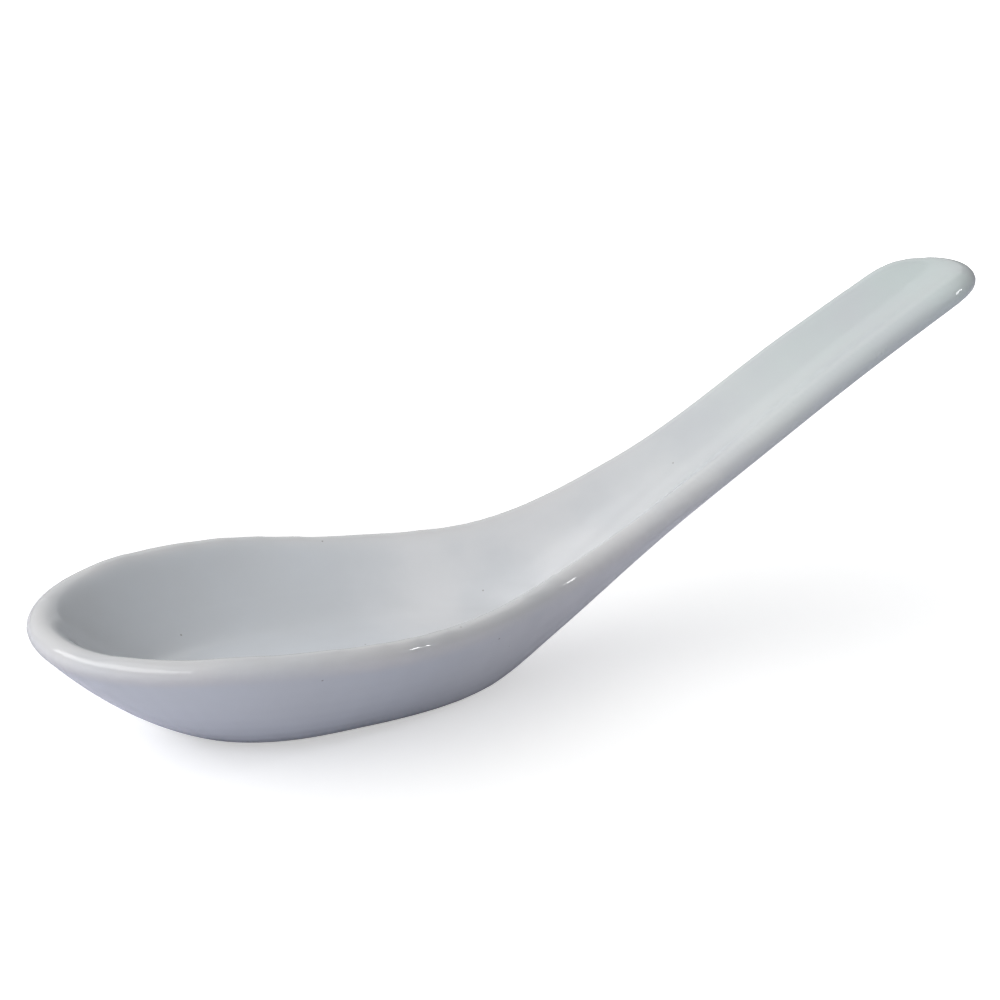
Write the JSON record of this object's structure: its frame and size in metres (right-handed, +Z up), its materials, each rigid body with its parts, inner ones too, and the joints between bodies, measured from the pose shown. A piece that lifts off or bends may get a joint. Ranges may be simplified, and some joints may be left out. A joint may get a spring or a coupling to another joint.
{
  "type": "soup spoon",
  "caption": "White glazed porcelain soup spoon with a flat-floored oval bowl and a rising, channelled handle, for ladling and sipping broth; it stands level on a flat foot.",
  "frame": {"origin": "middle of the flat foot, on the table", "axes": "+X from the bowl towards the handle's end, +Y across the bowl, +Z up from the table"},
  "size_m": [0.1379, 0.048, 0.0468],
  "materials": {
    "clay": "unglazed, smooth and matt",
    "glaze": "clear glossy glaze over white porcelain"
  },
  "bodies": {
    "root": {"porcelain_body": "clay", "glaze_coat": "glaze"}
  },
  "joints": []
}
